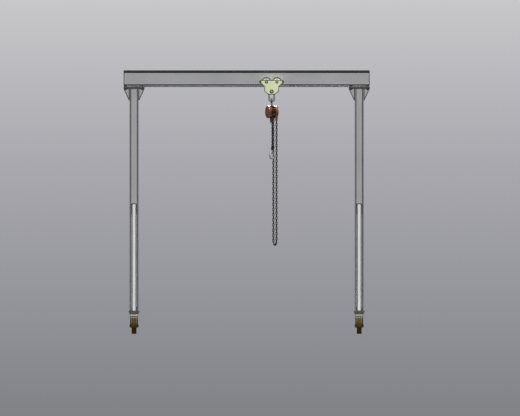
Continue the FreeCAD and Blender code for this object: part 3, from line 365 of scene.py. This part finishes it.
def turned(profile, place, sides=20):
    """Round piece from (radius, height) points about Z, set down by a matrix."""
    shape = bmesh.new()
    rings = []
    for radius, height in profile:
        level = place @ Matrix.Translation((0, 0, height))
        if radius == 0:
            rings.append([shape.verts.new(level.translation)] * sides)
        else:
            rings.append(ring_at(shape, level, radius, sides))
    for low, high in zip(rings, rings[1:]):
        for index in range(sides):
            after = (index + 1) % sides
            corners = [low[index], low[after], high[after], high[index]]
            shape.faces.new(list(dict.fromkeys(corners)))
    bmesh.ops.recalc_face_normals(shape, faces=shape.faces)
    return finished_mesh(shape, "turned")


# ---------------------------------------------------------------- weld beads

RIPPLE = 0.006              # length of one ripple of a weld
RIPPLE_DIP = 0.82           # a bead's radius between two ripples, as a share of its full one
BEAD_SIDES = 6
OFF_FACE = 0.001            # from a bead's middle line to the face that it lies on
POST_BEAD = 0.0045          # radii of the beads
BRACE_BEAD = 0.004
THIN_BEAD = 0.0035

(post_inside, _, SOLE_TOP), (post_outside, _, POST_TOP) = box_of("post_right")
POST_X = (post_inside + post_outside) / 2
POST_HALF = (post_outside - post_inside) / 2
POST_CORNER = 0.021
CASTER_Y = abs(joints["caster_swivel_right_front"]["pos_m"][1])

(brace_inside, _, _), (brace_outside, _, BRACE_TOP) = box_of("brace_right_front")
BRACE_HALF = (brace_outside - brace_inside) / 2 + OFF_FACE
BRACE_RISE = BRACE_TOP - 0.066 - SOLE_TOP       # of its middle line, from sole to post
BRACE_LEAN = math.atan2(CASTER_Y - POST_HALF, BRACE_RISE)
BRACE_CORNER = 0.010
HEAD_BEAD_TOP = BRACE_TOP - 0.002
HEAD_BEAD_LENGTH = 0.132    # up each side of a brace's head
HEAD_BEAD_CORNER = 0.010

(_, _, gusset_foot), (_, gusset_half, _) = box_of("gussets")
GUSSET_Y = gusset_half + OFF_FACE
GUSSET_REACH = 0.068        # along the head plate, from the post
GUSSET_BEAD_FOOT = gusset_foot + 0.005
GUSSET_BEAD_TOP = POST_TOP - 0.004
RAIL_END = 0.665
RAIL_HEIGHT = 0.055


def sweep(shape, path, radius, closed=False):
    """Add a rippled bead along a path of points to a bmesh."""
    points = []
    for start, end in zip(path, path[1:] + path[:1] if closed else path[1:]):
        steps = max(1, round((end - start).length / (RIPPLE / 2)))
        points += [start.lerp(end, step / steps) for step in range(steps)]
    if not closed:
        points.append(path[-1])
    rings = []
    for index, point in enumerate(points):
        before = points[index - 1] if closed or index else point
        after = points[(index + 1) % len(points)] if closed or index < len(points) - 1 else point
        place = Matrix.Translation(point) @ (after - before).to_track_quat("Z", "Y").to_matrix().to_4x4()
        size = radius * (1.0 if index % 2 else RIPPLE_DIP)
        rings.append(ring_at(shape, place, size, BEAD_SIDES))
    for low, high in zip(rings, rings[1:] + rings[:1] if closed else rings[1:]):
        for index in range(BEAD_SIDES):
            after = (index + 1) % BEAD_SIDES
            shape.faces.new((low[index], low[after], high[after], high[index]))
    if not closed:
        shape.faces.new(rings[0][::-1])
        shape.faces.new(rings[-1])


def rounded_square(centre, half_x, half_y, corner):
    """Level outline with rounded corners, as a list of points."""
    points = []
    for quarter, (sign_x, sign_y) in enumerate(((1, 1), (-1, 1), (-1, -1), (1, -1))):
        middle = centre + Vector((sign_x * (half_x - corner), sign_y * (half_y - corner), 0))
        for step in range(4):
            turn = math.pi / 2 * (quarter + step / 3)
            points.append(middle + Vector((corner * math.cos(turn), corner * math.sin(turn), 0)))
    return points


def post_welds(shape, x):
    """Beads round a post's head and foot."""
    half = POST_HALF + OFF_FACE
    for height in (POST_TOP - OFF_FACE, SOLE_TOP + OFF_FACE):
        sweep(shape, rounded_square(Vector((x, 0, height)), half, half, POST_CORNER), POST_BEAD, True)


def brace_welds(shape, x, end):
    """Beads round a brace's foot, and up and over its head on the post."""
    foot = Vector((x, end * CASTER_Y, SOLE_TOP + OFF_FACE))
    outline = rounded_square(foot, BRACE_HALF, BRACE_HALF / math.cos(BRACE_LEAN), BRACE_CORNER + OFF_FACE)
    sweep(shape, outline, BRACE_BEAD, True)
    bottom = HEAD_BEAD_TOP - HEAD_BEAD_LENGTH
    turn_height = HEAD_BEAD_TOP - HEAD_BEAD_CORNER
    shoulder = BRACE_HALF - HEAD_BEAD_CORNER
    up_and_over = [
        (-BRACE_HALF, bottom), (-BRACE_HALF, turn_height), (-shoulder, HEAD_BEAD_TOP),
        (shoulder, HEAD_BEAD_TOP), (BRACE_HALF, turn_height), (BRACE_HALF, bottom),
    ]
    face_y = end * (POST_HALF + OFF_FACE)
    sweep(shape, [Vector((x + offset, face_y, height)) for offset, height in up_and_over], BRACE_BEAD)


def rail_welds(shape, x, end):
    """Beads up both sides of a base rail on the post, and along its foot."""
    face_y = end * (POST_HALF + OFF_FACE)
    for offset in (-BRACE_HALF, BRACE_HALF):
        beside = x + offset
        upright = [Vector((beside, face_y, SOLE_TOP)), Vector((beside, face_y, SOLE_TOP + RAIL_HEIGHT))]
        sweep(shape, upright, BRACE_BEAD)
        foot = SOLE_TOP + OFF_FACE
        sweep(shape, [Vector((beside, face_y, foot)), Vector((beside, end * RAIL_END, foot))], THIN_BEAD)


def gusset_welds(shape, x, end):
    """Beads on one face of both of a post's gussets, against the post and under the head plate."""
    y = end * GUSSET_Y
    top = POST_TOP - OFF_FACE
    for direction in (-1, 1):
        inner = x + direction * (POST_HALF + OFF_FACE)
        outer = inner + direction * GUSSET_REACH
        sweep(shape, [Vector((inner, y, GUSSET_BEAD_FOOT)), Vector((inner, y, GUSSET_BEAD_TOP))], THIN_BEAD)
        sweep(shape, [Vector((inner, y, top)), Vector((outer, y, top))], THIN_BEAD)


welds = bmesh.new()
for side_sign in SIDES.values():
    post_welds(welds, side_sign * POST_X)
    for end_sign in ENDS.values():
        brace_welds(welds, side_sign * POST_X, end_sign)
        rail_welds(welds, side_sign * POST_X, end_sign)
        gusset_welds(welds, side_sign * POST_X, end_sign)
add_piece("weld_beads", finished_mesh(welds, "weld_beads"), "frame", "frame_paint")

# ---------------------------------------------------------------- fittings on the casters' forks

(fork_inside, _, _), (fork_outside, _, _) = box_of("caster_fork_right_front")
FORK_HALF = (fork_outside - fork_inside) / 2
NIPPLE_BEHIND = 0.015       # from the swivel axis to the nipple
NIPPLE_HEIGHT = 0.205
NIPPLE = [
    (0, -0.002), (0.0055, -0.002), (0.0055, 0.003), (0.0035, 0.004), (0.0028, 0.007), (0.0034, 0.009),
    (0.002, 0.011), (0, 0.011),
]

# Flanges that are turned in along the front and rear edges of each fork leg. An edge runs from nose to axle
# as (y, z), with y from the swivel axis, and the sign is the way to the leg's middle.
LEG_EDGES = (
    ((0.0575, 0.196), (0.0795, 0.107), -1),
    ((-0.0295, 0.190), (0.0205, 0.1135), 1),
)
LEG_INSIDE = 0.0412         # from the fork's middle plane to just inside a leg
FLANGE_WIDTH = 0.0085
FLANGE_SHIFT = 0.003        # from a flange's outer face to its inner one, on a slant


def grease_nipple(side_sign, end_sign):
    """Nipple on the outer face of a fork's leg."""
    spot = (side_sign * (POST_X + FORK_HALF), end_sign * (CASTER_Y + NIPPLE_BEHIND), NIPPLE_HEIGHT)
    return turned(NIPPLE, Matrix.Translation(spot) @ Matrix.Rotation(side_sign * math.pi / 2, 4, "Y"))


def add_strip(shape, edge, shift, reaches, side_sign, end_sign):
    """Add a four-sided bar to a bmesh: from an edge to that edge shifted, between two distances from the
    fork's middle plane."""
    corners = []
    for point in edge:
        for spot in (point, point + shift):
            for reach in reaches:
                corners.append(shape.verts.new((
                    side_sign * POST_X + reach, end_sign * (CASTER_Y + spot.x), spot.y,
                )))
    for face in ((0, 1, 3, 2), (4, 6, 7, 5), (0, 4, 5, 1), (2, 3, 7, 6), (0, 2, 6, 4), (1, 5, 7, 3)):
        shape.faces.new([corners[index] for index in face])


def leg_flanges(side_sign, end_sign):
    """Turned-in flanges on both legs of one fork, clear of the wheel."""
    shape = bmesh.new()
    for start, end, inward in LEG_EDGES:
        edge = (Vector(start), Vector(end))
        along = (edge[1] - edge[0]).normalized()
        shift = Vector((-along.y, -along.x)) * inward * FLANGE_SHIFT
        for leg in (-1, 1):
            reaches = (leg * LEG_INSIDE, leg * (LEG_INSIDE - FLANGE_WIDTH))
            add_strip(shape, edge, shift, reaches, side_sign, end_sign)
    bmesh.ops.recalc_face_normals(shape, faces=shape.faces)
    bmesh.ops.bevel(shape, geom=shape.edges[:], offset=0.001, segments=2, affect="EDGES")
    return finished_mesh(shape, "leg_flanges")


def fit_to_forks(kind, make, slot):
    """Add one fitting to each of the four forks."""
    for side, side_sign in SIDES.items():
        for end, end_sign in ENDS.items():
            add_piece(f"{kind}_{side}_{end}", make(side_sign, end_sign), f"caster_{side}_{end}", slot)


fit_to_forks("grease_nipple", grease_nipple, "zinc")
fit_to_forks("leg_flanges", leg_flanges, "fork_steel")

# ---------------------------------------------------------------- cap screws on both hoist covers

swivel_spot = joints["hoist_swivel"]["pos_m"]
wheel_axis = joints["hand_wheel_turn"]["axis"]
HOIST_CENTRE = Matrix.Translation((swivel_spot[0], swivel_spot[1], joints["hand_wheel_turn"]["pos_m"][2]))
HOIST_CENTRE @= Matrix.Rotation(math.atan2(wheel_axis[1], wheel_axis[0]), 4, "Z")
GEAR_FACE = -0.0652         # from the hoist's middle to the face of a cover, along the wheels' axis
WHEEL_FACE = 0.0702
CAP_CIRCLE = 0.045          # radius of the circle that a cover's screws are on
CAP = [
    (0, -0.003), (0.0075, -0.003), (0.0075, 0.0025), (0.0065, 0.0035), (0.0038, 0.0035), (0.0036, 0.001),
    (0, 0.001),
]

for cover, face_x, way in (("gear", GEAR_FACE, -1), ("wheel", WHEEL_FACE, 1)):
    for index in range(3):
        turn = math.radians(90 + 120 * index)
        spot = (face_x, CAP_CIRCLE * math.cos(turn), CAP_CIRCLE * math.sin(turn))
        place = HOIST_CENTRE @ Matrix.Translation(spot) @ Matrix.Rotation(way * math.pi / 2, 4, "Y")
        add_piece(f"{cover}_cover_screw_{index + 1}", turned(CAP, place), "hoist", "black_steel")

# ---------------------------------------------------------------- floor and backdrop

FLOOR_HALF = 30.0
BACKDROP_Y = 8.0
BACKDROP_HALF = 9.0
BACKDROP_FOOT = -2.0
BACKDROP_TOP = 6.0
FADE_FOOT = -1.1            # heights between which the backdrop's grey changes
FADE_TOP = 4.1


def backdrop_material():
    """Grey that falls off evenly from top to bottom, by height above the floor."""
    tree = Tree("backdrop")
    rise = FADE_TOP - FADE_FOOT
    height = tree.math("MULTIPLY_ADD", tree.split(tree.place)[2], 1 / rise, -FADE_FOOT / rise)
    shade = tree.ramp(height, [
        (0.00, (0.214, 0.217, 0.232)), (0.30, (0.296, 0.300, 0.325)), (0.62, (0.400, 0.396, 0.426)),
        (0.82, (0.491, 0.487, 0.515)), (1.00, (0.578, 0.578, 0.591)),
    ])
    glow = tree.nodes.new("ShaderNodeEmission")
    tree.link(shade, glow.inputs["Color"])
    tree.link(glow.outputs[0], tree.nodes["Material Output"].inputs["Surface"])
    return tree.material


def floor_material():
    """Plain pale floor with a faint cloudy tone."""
    tree = Tree("floor")
    tree.colour(tree.ramp(tree.noise(1.5, 5), [(0.3, (0.17, 0.17, 0.175)), (0.7, (0.19, 0.19, 0.195))]))
    tree.set(Roughness=0.8)
    return tree.material


def add_stage_plane(name, corners, material):
    """Show a flat sheet that isn't part of the crane and sheds no light on it."""
    mesh = bpy.data.meshes.new(name)
    mesh.from_pydata(corners, [], [range(len(corners))])
    mesh.materials.append(material)
    plane = bpy.data.objects.new(name, mesh)
    bpy.context.scene.collection.objects.link(plane)
    plane.visible_diffuse = False
    plane.visible_glossy = False
    plane.visible_shadow = False


add_stage_plane("floor", [
    (-FLOOR_HALF, -FLOOR_HALF, 0), (FLOOR_HALF, -FLOOR_HALF, 0),
    (FLOOR_HALF, BACKDROP_Y, 0), (-FLOOR_HALF, BACKDROP_Y, 0),
], floor_material())
add_stage_plane("backdrop", [
    (-BACKDROP_HALF, BACKDROP_Y, BACKDROP_FOOT), (BACKDROP_HALF, BACKDROP_Y, BACKDROP_FOOT),
    (BACKDROP_HALF, BACKDROP_Y, BACKDROP_TOP), (-BACKDROP_HALF, BACKDROP_Y, BACKDROP_TOP),
], backdrop_material())
